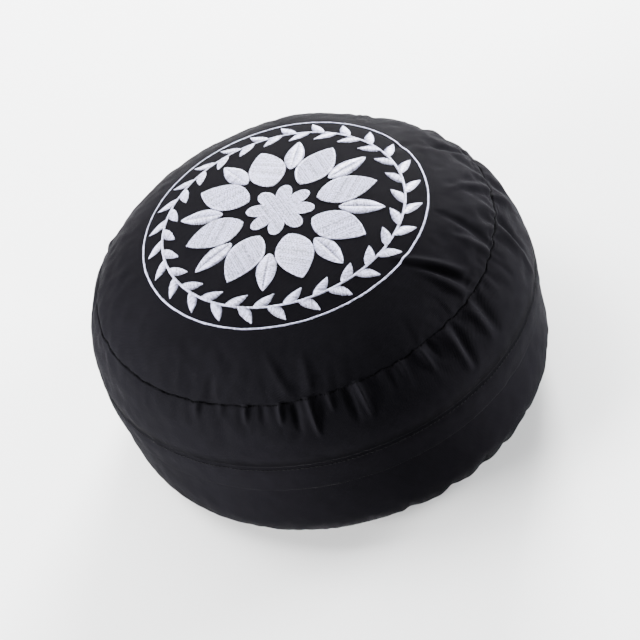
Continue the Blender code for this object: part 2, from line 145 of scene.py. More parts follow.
coverRelief = {
    "narrower": 0.62,  # the true width of a crease against the plain solid's
    "higher": 1.05,  # and its true height
    "creaseTaper": (1.2, 0.5),  # times that width at a crease's start, and how much less at its end
    "gathersHigher": 1.3,
    # seam, then depth and half width of its needle line, its channel and its soft dip   (mm)
    "seams": (
        ("topSeam", (1.3, 0.45), (1.4, 4.5), (0.0, 1.0)),
        ("flapTop", (0.0, 1.0), (0.0, 3.0), (1.5, 6.0)),
        ("bottomSeam", (1.2, 0.8), (1.6, 3.5), (0.0, 1.0)),
    ),
    "pullWaves": (17, 29, 46, 71, 97),  # how unevenly the needle lines are drawn in
    "pullHeight": 0.16,
    "filledUp": (268.0, 0.55, 0.8),  # where a line fills up: degrees, half width in radians, share
    "wander": 2.94,  # mm that the top seam strays
    "wanderWaves": (6, 11, 19, 31, 44, 63, 78),
    "wanderLeast": 0.35,
    "wanderReach": 8.0,  # mm from the seam
    "recess": 1.8,  # mm that the cover lies back under the flap
    "recessStart": -0.35,  # mm from the flap's top
    "recovery": 30.0,  # mm below the flap's edge over which the cover comes out again
    "tuck": (0.4, 0.8, 1.6),  # the dip under the flap's edge: depth, place and half width (mm)
    "creases": (
        # angle, start, end, lean, half width, height   (degrees, then mm from the top seam)
        (-130.5, -1.0, 12.0, 0.0, 4.0, 1.5),
        (-123.5, -1.0, 10.0, 0.0, 4.0, 1.0),
        (-116.5, -2.0, 13.0, 0.0, 3.4, 2.0),
        (-112.0, 0.0, 14.0, 0.0, 4.2, -1.2),
        (-107.3, -1.5, 15.0, 0.0, 3.0, 2.4),
        (-103.6, 0.0, 22.0, 1.5, 4.2, -2.0),
        (-99.6, -1.5, 27.0, 2.5, 3.1, 3.2),
        (-96.8, 0.5, 16.0, 1.0, 4.0, -0.7),
        (-94.2, -1.0, 13.0, 1.0, 3.2, 1.9),
        (-89.4, 0.0, 25.0, 2.0, 4.4, -2.0),
        (-86.2, -1.5, 25.0, 2.5, 3.1, 3.0),
        (-82.8, 0.5, 14.0, 1.0, 4.0, -0.7),
        (-77.0, 1.0, 16.0, 0.0, 4.2, -1.2),
        (-73.5, -1.0, 12.0, 0.0, 4.0, 1.4),
        (-67.3, -0.5, 20.0, 2.0, 4.4, 2.2),
        (-64.0, 0.5, 16.0, 1.0, 4.2, -1.6),
        (-58.0, 0.5, 36.0, -2.0, 6.4, 2.5),
        (-55.6, 0.5, 38.0, -4.0, 6.4, -2.1),
        (-48.0, 0.5, 34.0, -2.0, 6.6, 2.3),
        (-44.2, 0.5, 34.0, -5.0, 6.6, -2.0),
        (-17.2, 0.5, 48.0, -14.0, 7.0, 2.6),
        (-13.4, 0.5, 38.0, -12.0, 6.5, -2.2),
        (-5.0, 0.5, 38.0, 5.5, 7.0, 2.0),
        (1.5, 0.5, 28.0, 0.0, 6.5, -1.6),
        (-40.0, -11.0, -66.0, -21.0, 6.0, 2.4),
        (-42.4, -6.0, -56.0, -17.0, 6.0, -2.2),
        (-45.6, -2.0, -46.0, -10.0, 6.5, 2.2),
        (-29.0, -1.0, -38.0, -2.5, 6.0, 1.5),
        (-25.2, -2.0, -52.0, 6.0, 6.5, -1.9),
        (-1.6, -1.0, -44.0, -16.0, 7.0, 1.3),
        (15.1, -1.0, -44.0, 4.0, 7.0, -1.7),
        (19.5, -38.0, -72.0, 2.0, 7.5, -1.4),
        (-104.0, -2.0, -42.0, -15.0, 6.0, 0.9),
        (-98.0, -2.0, -36.0, -1.0, 6.0, 0.9),
        (-137.3, -3.0, -28.0, -3.0, 6.0, 0.8),
        (-126.8, 1.0, -22.0, 0.0, 6.0, -1.3),
        (32.0, 0.5, 40.0, 6.0, 7.0, 0.9),
        (37.0, 0.5, 34.0, 8.0, 6.5, -0.8),
        (58.0, 0.5, 26.0, -3.0, 7.0, 1.7),
        (76.0, 0.5, 44.0, -11.0, 7.0, 2.6),
        (80.5, 0.5, 38.0, -9.0, 6.5, -2.0),
        (101.0, 0.5, 30.0, 4.0, 7.0, -1.7),
        (118.0, 0.5, 42.0, 10.0, 7.0, 2.3),
        (124.0, 0.5, 24.0, 3.0, 6.5, -1.4),
        (147.0, 0.5, 34.0, -6.0, 7.0, 1.8),
        (171.0, 0.5, 26.0, 2.0, 7.0, -1.3),
        # broad swells and hollows
        (77.0, 4.0, -60.0, 0.0, 45.0, 1.6),
        (50.0, 4.0, -60.0, 0.0, 32.0, -1.4),
        (8.0, -6.0, 48.0, 0.0, 35.0, 1.5),
        (-14.0, 2.0, 48.0, 0.0, 29.0, -1.8),
        (-168.0, 2.0, 48.0, 0.0, 42.0, -1.6),
        (-44.0, 142.0, 114.0, 0.0, 6.0, -0.8),
        (-48.8, 142.0, 116.0, 0.0, 6.0, -0.7),
        (-52.0, 142.0, 114.0, 0.0, 6.0, 0.8),
        (-55.0, 142.0, 114.0, 0.0, 6.0, -0.9),
        (-59.0, 142.0, 112.0, 0.0, 7.0, 0.7),
        (-62.6, 142.0, 110.0, 1.0, 6.0, -1.1),
        (-66.6, 142.0, 112.0, 0.0, 7.0, 0.8),
        (-72.0, 142.0, 112.0, -1.0, 6.5, -0.9),
        (-76.0, 142.0, 114.0, 0.0, 7.0, 0.7),
        (-84.0, 142.0, 116.0, 0.0, 7.0, -0.7),
        (-36.0, 142.0, 116.0, 0.0, 7.0, -0.7),
        (-20.0, 142.0, 114.0, 1.0, 7.0, -0.8),
        (12.0, 142.0, 112.0, 0.0, 7.0, -0.8),
        (47.0, 142.0, 114.0, -1.0, 7.0, -0.7),
        (83.0, 142.0, 112.0, 0.0, 7.0, -0.9),
        (121.0, 142.0, 114.0, 1.0, 7.0, -0.7),
        (158.0, 142.0, 114.0, 0.0, 7.0, -0.8),
    ),
    # fine gathers: seam, which way they run from it, how many, longest, widest, highest   (mm)
    "gathers": (
        ("topSeam", 1, 96, 26.0, 3.6, 0.75),
        ("topSeam", -1, 62, 30.0, 4.0, 0.5),
        ("bottomSeam", -1, 74, 20.0, 4.2, 0.75),
        ("bottomSeam", 1, 60, 8.0, 3.6, 0.5),
        ("flapTop", -1, 40, 14.0, 4.6, 0.35),
    ),
    "gatherLeast": (0.35, 0.55, 0.3),  # the shortest, narrowest and lowest, as shares of those
    "gatherLean": 0.18,
    # how much of the gathers shows round the side: degrees, below the seam, on the top panel
    "gathered": (
        (-180.0, 0.28, 0.14),
        (-150.0, 0.24, 0.10),
        (-130.0, 0.28, 0.12),
        (-112.0, 0.40, 0.18),
        (-90.0, 0.42, 0.18),
        (-70.0, 0.45, 0.20),
        (-50.0, 0.50, 0.40),
        (-20.0, 0.65, 0.80),
        (-5.0, 0.65, 1.10),
        (20.0, 0.60, 0.95),
        (45.0, 0.45, 0.60),
        (80.0, 0.40, 0.35),
        (140.0, 0.35, 0.16),
        (180.0, 0.28, 0.14),
    ),
    "panelFade": 1.5,  # mm from the seam where one goes over into the other
    # faint crumples in the loose cloth: degrees, mm
    "rumpled": (
        (-180.0, 0.17),
        (-120.0, 0.13),
        (-90.0, 0.06),
        (-65.0, 0.06),
        (-30.0, 0.15),
        (60.0, 0.20),
        (180.0, 0.17),
    ),
    "rumples": (44, 10.0, 26.0),  # how many waves, shortest, longest (mm)
    "rumpleFade": 20.0,  # mm outside the ring over which they set in
    "seed": 7,
}
foldPeak = 2.6  # brings a fold's highest place to 1


def turnFrom(angles, middle):
    # the turn from the middle to each angle, at most half a turn either way
    return np.remainder(angles - middle + math.pi, math.tau) - math.pi


def wavering(angles, waves, seed):
    draw = np.random.RandomState(seed)
    total = np.zeros_like(angles)
    for count in waves:
        total = total + draw.uniform(0.4, 1.0) * np.sin(count * angles + draw.uniform(0, math.tau))
    return total / len(waves)


def foldRise(height, share, across):
    # steep where it leaves the seam, and gone at its end
    return height * mm * foldPeak * np.sqrt(share) * (1 - share) * np.exp(-across * across)


def gatheredAt(angles, along):
    table = np.array(coverRelief["gathered"])
    degrees = np.degrees(turnFrom(angles, 0.0))
    below, above = (np.interp(degrees, table[:, 0], table[:, k]) for k in (1, 2))
    fade = coverRelief["panelFade"] * mm
    onPanel = np.clip((place["topSeam"] + fade - along) / (2 * fade), 0, 1)
    return below * (1 - onPanel) + above * onPanel


def creaseRelief(angles, along, narrower):
    radius = outlineAt(outlineValues[0], along)
    fromSeam = (along - place["topSeam"]) / mm
    widest, lessWide = coverRelief["creaseTaper"]
    rise = np.zeros(np.broadcast(angles, along).shape)
    for angle, start, end, lean, halfWidth, height in coverRelief["creases"]:
        share = np.clip((fromSeam - start) / (end - start), 0.0, 1.0)
        width = halfWidth * narrower * (widest - lessWide * share) * mm
        across = (turnFrom(angles, math.radians(angle)) * radius - lean * mm * share) / width
        rise += foldRise(height, share, across)
    return rise


def gatherRelief(angles, along):
    draw = np.random.RandomState(coverRelief["seed"])
    shortest, narrowest, lowest = coverRelief["gatherLeast"]
    radius = outlineAt(outlineValues[0], along)
    rise = np.zeros(np.broadcast(angles, along).shape)
    for seam, side, count, longest, widest, highest in coverRelief["gathers"]:
        fromSeam = (along - place[seam]) * side / mm
        for number in range(count):
            angle = math.tau * (number + draw.uniform(-0.45, 0.45)) / count
            length = longest * draw.uniform(shortest, 1.0)
            lean = draw.normal(0.0, coverRelief["gatherLean"]) * length
            halfWidth = widest * draw.uniform(narrowest, 1.0)
            height = highest * draw.uniform(lowest, 1.0) * draw.choice((-1.0, 1.0))
            share = np.clip(fromSeam / length, 0.0, 1.0)
            across = (turnFrom(angles, angle) * radius - lean * mm * share) / (halfWidth * mm)
            rise += foldRise(height, share, across)
    return rise


def rumpleRelief(angles, along):
    draw = np.random.RandomState(coverRelief["seed"] + 5)
    table = np.array(coverRelief["rumpled"])
    height = np.interp(np.degrees(turnFrom(angles, 0.0)), table[:, 0], table[:, 1])
    count, shortest, longest = coverRelief["rumples"]
    rise = np.zeros(np.broadcast(angles, along).shape)
    for _ in range(count):
        waves = math.tau / (draw.uniform(shortest, longest) * mm)
        course = draw.uniform(0, math.pi)
        around = round(waves * math.cos(course) * sideRadius)
        down = waves * math.sin(course)
        rise += np.sin(around * angles + down * along + draw.uniform(0, math.tau))
    loose = np.clip((along - place["ring"]) / (coverRelief["rumpleFade"] * mm), 0, 1)
    return rise * height * loose * mm / math.sqrt(count / 2)


def seamRelief(angles, along):
    # a needle line is drawn in unevenly, and fills up between the gathers at the front
    draw = np.random.RandomState(coverRelief["seed"] + 2)
    pull = np.ones_like(angles)
    for waves in coverRelief["pullWaves"]:
        pull = pull + coverRelief["pullHeight"] * np.sin(waves * angles + draw.uniform(0, math.tau))
    middle, halfWidth, share = coverRelief["filledUp"]
    fromFront = (angles % math.tau - math.radians(middle)) / halfWidth
    pull = pull * (1.0 - share * np.exp(-(fromFront**2)))
    rise = np.zeros(np.broadcast(angles, along).shape)
    for name, line, channel, dip in coverRelief["seams"]:
        away = np.abs(along - place[name]) / mm
        rise -= line[0] * pull * mm * np.exp(-((away / line[1]) ** 2))
        rise -= channel[0] * mm * np.exp(-away / channel[1])
        rise -= dip[0] * mm * np.exp(-((away / dip[1]) ** 2))
    return rise


def underFlap(along):
    # how far the cover lies back where the flap lies over it, and below
    below = along - place["flapEdge"]
    share = np.clip(below / (coverRelief["recovery"] * mm), 0.0, 1.0)
    depth = coverRelief["recess"] * mm * (1 - share * share * (3 - 2 * share))
    tuckDepth, tuckAt, tuckWidth = (size * mm for size in coverRelief["tuck"])
    depth = depth + tuckDepth * np.exp(-(((below - tuckAt) / tuckWidth) ** 2))
    return np.where(along > place["flapTop"] + coverRelief["recessStart"] * mm, depth, 0.0)


def seamWander(angles, along):
    # the top seam's line wavers most where the cloth is gathered into it
    shift = wavering(angles, coverRelief["wanderWaves"], coverRelief["seed"] + 1)
    shift = shift * (coverRelief["wanderLeast"] + gatheredAt(angles, along))
    near = np.exp(-(((along - place["topSeam"]) / (coverRelief["wanderReach"] * mm)) ** 2))
    return coverRelief["wander"] * mm * shift * near


def aboveFloor(along):
    # 1 on the side, and down to 0 where the cover meets the floor
    floorEdge = place["floorEdge"]
    return np.clip((floorEdge - along) / (floorEdge - place["bottomSeam"]), 0.0, 1.0)


def dressedPoints(angles, along, extra=0.0, recessed=True):
    creases = creaseRelief(angles, along, coverRelief["narrower"]) * coverRelief["higher"]
    gathers = gatherRelief(angles, along) * gatheredAt(angles, along) * coverRelief["gathersHigher"]
    lift = creases + gathers + rumpleRelief(angles, along)
    lift = (lift + seamRelief(angles, along)) * aboveFloor(along) + extra
    if recessed:
        lift = lift - underFlap(along)
    return coverPoints(angles, along + seamWander(angles, along), lift)


# Meshes from rows of points


def meshObject(name, points, faces, material, smooth=True):
    mesh = bpy.data.meshes.new(name)
    mesh.from_pydata(points, [], faces)
    mesh.update()
    if smooth:
        mesh.shade_smooth()
    mesh.materials.append(material)
    thing = bpy.data.objects.new(name, mesh)
    bpy.context.scene.collection.objects.link(thing)
    return thing


def roundFaces(rows, columns, closedRows=False):
    # faces of a sheet that runs once round; closedRows also joins its last row to its first
    last = rows if closedRows else rows - 1
    r, c = np.meshgrid(np.arange(last), np.arange(columns), indexing="ij")
    below, beside = (r + 1) % rows, (c + 1) % columns
    corners = (r * columns + c, below * columns + c, below * columns + beside, r * columns + beside)
    return np.stack(corners, -1)


def closedShell(name, points, material):
    # rows of points from the top pole to the bottom one; the first and last rows are the poles
    rows, columns = points.shape[:2]
    verts = np.concatenate((points[0, :1], points[1:-1].reshape(-1, 3), points[-1, :1]))
    faces = (roundFaces(rows - 2, columns).reshape(-1, 4) + 1).tolist()
    bottom = len(verts) - 1
    for c in range(columns):
        beside = (c + 1) % columns
        faces.append((0, 1 + c, 1 + beside))
        faces.append((bottom, bottom - columns + beside, bottom - columns + c))
    return meshObject(name, verts.tolist(), faces, material)


def rowStops(table):
    # where the rows of a mesh lie along the outline
    stops = []
    for name, start, end, step in table:
        low, high = place[name] + start * mm, place[name] + end * mm
        count = max(int(round((high - low) / (step * mm))), 1)
        stops.append(np.linspace(low, high, count, endpoint=False))
    return np.concatenate((*stops, [sectionAlong[-1]]))


# Materials


class Nodes:
    # short calls for the nodes of one material
    def __init__(self, material):
        self.tree = material.node_tree
        self.where = self.node("ShaderNodeTexCoord").outputs["Object"]

    def node(self, kind, **values):
        node = self.tree.nodes.new(kind)
        for key, value in values.items():
            setattr(node, key, value)
        return node

    def link(self, source, target):
        self.tree.links.new(source, target)

    def math(self, operation, a, b=None, clamp=False):
        node = self.node("ShaderNodeMath", operation=operation, use_clamp=clamp)
        for socket, value in zip(node.inputs, (a, b)):
            if isinstance(value, (int, float)):
                socket.default_value = value
            elif value is not None:
                self.link(value, socket)
        return node.outputs[0]

    def plus(self, a, b):
        return self.math("ADD", a, b)

    def minus(self, a, b, clamp=False):
        return self.math("SUBTRACT", a, b, clamp)

    def times(self, a, b, clamp=False):
        return self.math("MULTIPLY", a, b, clamp)

    def over(self, a, b, clamp=False):
        return self.math("DIVIDE", a, b, clamp)

    def attribute(self, name):
        return self.node("ShaderNodeAttribute", attribute_name=name).outputs["Fac"]

    def noise(self, scale, detail=2.0, roughness=0.5):
        node = self.node("ShaderNodeTexNoise")
        for name, value in (("Scale", scale), ("Detail", detail), ("Roughness", roughness)):
            node.inputs[name].default_value = value
        self.link(self.where, node.inputs["Vector"])
        return node.outputs["Fac"]

    def above(self, value, start, gain):
        # 0 up to the start, then rising to 1 as fast as the gain says
        return self.times(self.minus(value, start), gain, clamp=True)

    def colour(self, colour):
        node = self.node("ShaderNodeRGB")
        node.outputs[0].default_value = (*colour, 1.0)
        return node.outputs[0]

    def toned(self, factor, colour, shares, ends=(0.3, 0.7)):
        # from a darker to a lighter share of the colour, between two ends of the factor
        node = self.node("ShaderNodeValToRGB")
        for element, share, end in zip(node.color_ramp.elements, shares, ends):
            element.position = end
            element.color = (*(share * c for c in colour), 1.0)
        self.link(factor, node.inputs["Fac"])
        return node.outputs["Color"]

    def mixColour(self, factor, a, b):
        node = self.node("ShaderNodeMix", data_type="RGBA")
        for name, source in (("Factor", factor), ("A", a), ("B", b)):
            self.link(source, node.inputs[name])
        return node.outputs["Result"]

    def bump(self, height, strength, distance, under=None):
        # the distance is in mm; another bump may lie under this one
        node = self.node("ShaderNodeBump")
        node.inputs["Strength"].default_value = strength
        node.inputs["Distance"].default_value = distance * mm
        self.link(height, node.inputs["Height"])
        if under is not None:
            self.link(under, node.inputs["Normal"])
        return node.outputs[0]

    def between(self, factor, low, high):
        node = self.node("ShaderNodeMapRange")
        node.inputs["To Min"].default_value = low
        node.inputs["To Max"].default_value = high
        self.link(factor, node.inputs["Value"])
        return node.outputs[0]


def newMaterial(name, look):
    material = bpy.data.materials.new(name)
    material.use_nodes = True
    shader = material.node_tree.nodes["Principled BSDF"]
    shader.inputs["Base Color"].default_value = (*look["colour"], 1.0)
    shader.inputs["Roughness"].default_value = look["roughness"]
    shader.inputs["Specular IOR Level"].default_value = look["specular"]
    shader.inputs["Sheen Weight"].default_value = look.get("sheen", 0.0)
    shader.inputs["Sheen Roughness"].default_value = look.get("sheenRoughness", 0.5)
    shader.inputs["Sheen Tint"].default_value = (*look.get("sheenTint", (1.0, 1.0, 1.0)), 1.0)
    return material, shader.inputs, Nodes(material)


# In the looks, a noise is its scale, detail and roughness, sizes are in mm, and a gain is how
# sharply a mark sets in. Shares are times the colour, from the darkest to the lightest.

twillLook = {
    "colour": (0.0032, 0.0031, 0.0040),
    "specular": 0.006,
    "sheen": 0.04,
    "sheenRoughness": 0.2,
    "sheenTint": (0.97, 0.95, 1.0),
    "roughness": 0.85,
    "roughNoise": (55.0,),
    "roughRange": (0.70, 0.90),
    # the weave
    "twillPitch": 1.05,  # from one diagonal rib to the next
    "ribLean": (0.66, 0.75),
    "yarnPitch": 0.62,
    "yarnShare": 0.45,
    "slubNoise": (420.0, 3.0, 0.6),
    "slubShare": 1.1,
    "ribDepth": 0.06,
    "ribStrength": 0.75,
    # broad soft rumples under it
    "rumpleNoise": (34.0, 3.0, 0.55),
    "rumpleDepth": 1.2,
    "rumpleStrength": 0.35,
    # dye that took unevenly, cloth paler on the ridges and on the rib crests, and a few specks of
    # lint
    "dyeNoise": (9.0, 4.0, 0.6),
    "dyeShares": (0.82, 1.30),
    "paleRidges": (0.0088, 0.0084, 0.0098),
    "paleRidgeShare": 0.30,
    "paleOnRibs": 0.25,
    "ridgeGain": 6.0,
    "edgeNotPale": (-1.5, 5.0),  # the flap's folded edge is turned under and left out of the paler ridges: middle, reach
    "lint": 0.017,
    "lintNoise": (900.0, 1.0, 0.5),
    "lintFrom": (0.79, 9.0),  # start and gain
    # painted shade in the folds of the seams, under the flap's edge and in a band above the flap:
    # section, mm below it, half width, share, how far the line strays (mm)
    "seamShadeColour": (0.0008, 0.0008, 0.0010),
    "seamNoise": (210.0, 2.0, 0.6),
    "seamShadeGain": 1.5,
    "seamShadeLines": (
        ("topSeam", 0.0, 0.6, 1.0, 4.6),
        ("flapTop", -2.8, 6.5, 0.4, 2.0),
        ("flapEdge", 0.0, 1.2, 0.5, 0.0),
        ("bottomSeam", 0.0, 1.4, 0.8, 1.0),
    ),
    "brokenAt": (-88.0, 42.5, 17.0),  # where the top seam's painted shade line breaks up: middle, reach, fade
    "gapNoise": (120.0, 2.0, 0.6),
    "gapFrom": (0.40, 8.0),
}


def twillMaterial():
    look = twillLook
    material, sockets, nodes = newMaterial("black_twill_cloth", look)
    plus, minus, times, over = nodes.plus, nodes.minus, nodes.times, nodes.over
    parts = nodes.node("ShaderNodeSeparateXYZ")
    nodes.link(nodes.where, parts.inputs[0])
    x, y = parts.outputs["X"], parts.outputs["Y"]
    along = nodes.attribute("coverAlong")
    angle = nodes.math("ARCTAN2", y, x)
    # the panels are cut flat, and the band runs round the side
    radius = nodes.math("SQRT", plus(times(x, x), times(y, y)))
    stretch = over(along, nodes.math("MAXIMUM", radius, 1.0 * mm))
    panelU, panelV = times(x, stretch), times(y, stretch)
    isBand = nodes.math("GREATER_THAN", along, float(place["topSeam"]))
    u = plus(panelU, times(isBand, minus(times(angle, sideRadius), panelU)))
    v = plus(panelV, times(isBand, minus(along, panelV)))
    # diagonal ribs, broken up by the single yarns
    leanU, leanV = look["ribLean"]
    ribWaves, yarnWaves = (math.tau / (look[pitch] * mm) for pitch in ("twillPitch", "yarnPitch"))
    rib = nodes.math("SINE", times(plus(times(u, leanU), times(v, leanV)), ribWaves))
    yarns = times(nodes.math("SINE", times(u, yarnWaves)), nodes.math("SINE", times(v, yarnWaves)))
    weave = plus(rib, times(yarns, look["yarnShare"]))
    weave = plus(weave, times(nodes.noise(*look["slubNoise"]), look["slubShare"]))
    rumple = nodes.noise(*look["rumpleNoise"])
    soft = nodes.bump(rumple, look["rumpleStrength"], look["rumpleDepth"])
    bump = nodes.bump(weave, look["ribStrength"], look["ribDepth"], under=soft)
    nodes.link(bump, sockets["Normal"])
    # the dye, the paler ridges and the lint
    cloth = nodes.toned(nodes.noise(*look["dyeNoise"]), look["colour"], look["dyeShares"])
    ridges = nodes.node("ShaderNodeNewGeometry").outputs["Pointiness"]
    ridge = nodes.above(ridges, 0.5, look["ridgeGain"])
    edge, reach = (size * mm for size in look["edgeNotPale"])
    offEdge = nodes.math("ABSOLUTE", minus(along, float(place["flapEdge"] + edge)))
    ridge = times(ridge, over(offEdge, reach, clamp=True))
    paleRidges = plus(ridge, times(plus(rib, 1.0), look["paleOnRibs"]))
    cloth = nodes.mixColour(times(paleRidges, look["paleRidgeShare"]), cloth, nodes.colour(look["paleRidges"]))
    speck = nodes.above(nodes.noise(*look["lintNoise"]), *look["lintFrom"])
    cloth = nodes.mixColour(speck, cloth, nodes.colour([look["lint"]] * 3))
    # painted shade along the seams and above the flap, with the top seam's line broken up at the
    # front
    middle, reach, fade = (math.radians(degrees) for degrees in look["brokenAt"])
    fromFront = nodes.math("ABSOLUTE", minus(angle, middle))
    front = over(minus(reach, fromFront), fade, clamp=True)
    gap = nodes.above(nodes.noise(*look["gapNoise"]), *look["gapFrom"])
    whole = minus(1.0, times(front, gap))
    stray = minus(nodes.noise(*look["seamNoise"]), 0.5)
    seams = None
    for name, below, halfWidth, share, strays in look["seamShadeLines"]:
        onLine = minus(along, float(place[name] + below * mm))
        offLine = nodes.math("ABSOLUTE", minus(onLine, times(stray, strays * mm)))
        line = minus(1.0, over(offLine, halfWidth * mm), clamp=True)
        line = times(line, share * look["seamShadeGain"], clamp=True)
        if name == "topSeam":
            line = times(line, whole)
        seams = line if seams is None else nodes.math("MAXIMUM", seams, line)
    # the painted seam shade darkens the cloth's colour
    cloth = nodes.mixColour(seams, cloth, nodes.colour(look["seamShadeColour"]))
    nodes.link(cloth, sockets["Base Color"])
    rough = nodes.between(nodes.noise(*look["roughNoise"]), *look["roughRange"])
    nodes.link(rough, sockets["Roughness"])
    return material


threadLook = {
    "colour": (0.60, 0.605, 0.84),
    "toneNoise": (760.0, 2.0, 0.7),
    "ownShare": 0.2,  # how much of a stitch's tone is its own
    "toneShares": (0.36, 1.12),
    "toneEnds": (0.40, 0.55),
    "needleHoleShade": (0.07, 0.07, 0.09),
    "specular": 0.5,
    "sheen": 0.08,
    "sheenRoughness": 0.35,
    "roughness": 0.36,
    "roughRange": (0.28, 0.44),
    "fibreNoise": (2600.0, 2.0, 0.6),
    "fibreDepth": 0.05,
    "fibreStrength": 0.25,
}


def threadMaterial():
    # single stitches take the dye a little differently, and get painted shade where they sink into
    # the needle holes
    look = threadLook
    material, sockets, nodes = newMaterial("silver_lilac_thread", look)
    tone = nodes.noise(*look["toneNoise"])
    own = nodes.times(nodes.attribute("stitchTone"), look["ownShare"])
    mixed = nodes.plus(nodes.times(tone, 1.0 - look["ownShare"]), own)
    silver = nodes.toned(mixed, look["colour"], look["toneShares"], look["toneEnds"])
    # painted shade where a stitch sinks into its needle hole
    sunk = nodes.attribute("stitchSunkShade")
    silver = nodes.mixColour(sunk, silver, nodes.colour(look["needleHoleShade"]))
    nodes.link(silver, sockets["Base Color"])
    fibres = nodes.noise(*look["fibreNoise"])
    nodes.link(nodes.bump(fibres, look["fibreStrength"], look["fibreDepth"]), sockets["Normal"])
    nodes.link(nodes.between(tone, *look["roughRange"]), sockets["Roughness"])
    return material


seamThreadLook = {
    "colour": (0.0012, 0.0012, 0.0014),
    "noise": (700.0,),
    "shares": (0.7, 1.5),
    "roughness": 0.7,
    "specular": 0.04,
}
flapThreadLook = {
    "colour": (0.0026, 0.0026, 0.0032),
    "noise": (700.0,),
    "shares": (0.7, 1.5),
    "roughness": 0.7,
    "specular": 0.02,
    "sheen": 0.03,
}
floorLook = {
    "colour": (0.90, 0.91, 0.91),
    "noise": (2.0, 1.0),
    "shares": (0.992, 1.0),
    "roughness": 1.0,
    "specular": 0.0,
}


def plainMaterial(name, look):
    material, sockets, nodes = newMaterial(name, look)
    tone = nodes.toned(nodes.noise(*look["noise"]), look["colour"], look["shares"])
    nodes.link(tone, sockets["Base Color"])
    return material


twill = twillMaterial()
silverThread = threadMaterial()
seamThread = plainMaterial("black_seam_thread", seamThreadLook)
flapThread = plainMaterial("black_flap_thread", flapThreadLook)
paleFloor = plainMaterial("pale_floor", floorLook)
print("materials made")


# The cushion's cover

coverMesh = {
    "columns": 512,
    "denser": 0.38,  # how much closer the columns stand at the gathers of the front
    "denseAt": -94.0,  # degrees
    "rows": (
        # section, from, to, step   (mm)
        ("crown", 0.0, 4.0, 4.0),
        ("crown", 4.0, 100.0, 4.0),
        ("crown", 100.0, 142.0, 2.4),
        ("topSeam", -21.3, -6.0, 1.3),
        ("topSeam", -6.0, 6.0, 0.6),
        ("topSeam", 6.0, 30.0, 1.4),
        ("topSeam", 30.0, 48.0, 2.0),
        ("flapTop", -4.6, -0.5, 0.68),
        ("flapTop", -0.5, -0.3, 0.1),
        ("flapTop", -0.3, 0.6, 0.45),
        ("flapTop", 0.6, 18.4, 4.4),
        ("flapEdge", -4.0, 4.0, 1.3),
        ("flapEdge", 4.0, 24.0, 2.5),
        ("lowerBelly", -10.0, 14.0, 2.0),
        ("lowerBelly", 14.0, 25.5, 1.5),
        ("bottomSeam", -5.0, 5.0, 0.8),
        ("bottomSeam", 5.0, 16.1, 1.9),
        ("floorEdge", 0.0, 30.0, 10.0),
        ("floorEdge", 30.0, 135.0, 35.0),
    ),
}

clothSettings = {
    "frames": 20,
    "pressure": 4.0,
    "slack": 0.055,  # how much longer the gathered cloth is than its seam
    "slackReach": 26.0,  # mm from a seam
    "slackSeams": ("topSeam", "bottomSeam"),
    "cap": 5.0,  # mm that a point may move
    "wider": 1.1,  # times a crease's width, before the cloth tightens it
    # what keeps its place, and how far that reaches (mm)
    "leastHeld": 0.02,
    "heldLines": (("topSeam", 3.0), ("flapTop", 13.0), ("flapEdge", 13.0), ("bottomSeam", 3.0)),
    "heldOutsideRing": (14.0, 16.0),
    "heldUnderSeam": 8.0,
    # in the solver's own words
    "solver": {
        "quality": 6,
        "mass": 0.3,
        "tension_stiffness": 20.0,
        "compression_stiffness": 20.0,
        "shear_stiffness": 6.0,
        "bending_stiffness": 0.35,
    },
}


def slackAt(along):
    reach = clothSettings["slackReach"] * mm
    near = np.zeros_like(along)
    for name in clothSettings["slackSeams"]:
        near = np.maximum(near, np.exp(-(((along - place[name]) / reach) ** 2)))
    return near


def holdAt(along):
    # the seams, the embroidered crown and the base keep their place
    hold = np.full_like(along, clothSettings["leastHeld"])
    for name, width in clothSettings["heldLines"]:
        hold = np.maximum(hold, np.exp(-(((along - place[name]) / (width * mm)) ** 2)))
    outside, fade = (size * mm for size in clothSettings["heldOutsideRing"])
    crownHold = np.clip((place["ring"] + outside - along) / fade, 0, 1)
    floorHold = (along - place["bottomSeam"]) / (clothSettings["heldUnderSeam"] * mm)
    return np.maximum(hold, np.maximum(crownHold, np.clip(floorHold, 0, 1)))


def groupByRow(thing, name, rowWeights, columns):
    # a weight for each row of points, and 1 at the two poles
    group = thing.vertex_groups.new(name=name)
    for row, weight in enumerate(rowWeights):
        first = 1 + row * columns
        group.add(list(range(first, first + columns)), float(weight), "REPLACE")
    group.add([0, len(thing.data.vertices) - 1], 1.0, "REPLACE")


def simulated(thing):
    # the points of the cover after its cloth has settled
    cloth = thing.modifiers.new("cloth", "CLOTH")
    settings = cloth.settings
    for name, value in clothSettings["solver"].items():
        setattr(settings, name, value)
    settings.vertex_group_mass = "held"
    settings.vertex_group_shrink = "tight"
    settings.shrink_min = -clothSettings["slack"]
    settings.shrink_max = 0.0
    settings.use_pressure = True
    settings.uniform_pressure_force = clothSettings["pressure"]
    settings.effector_weights.gravity = 0.0
    cloth.point_cache.frame_start = 1
    cloth.point_cache.frame_end = clothSettings["frames"]
    for number in range(1, clothSettings["frames"] + 1):
        bpy.context.scene.frame_set(number)
    evaluated = thing.evaluated_get(bpy.context.evaluated_depsgraph_get())
    moved = np.zeros(len(evaluated.data.vertices) * 3, np.float32)
    evaluated.data.vertices.foreach_get("co", moved)
    return moved.reshape(-1, 3)


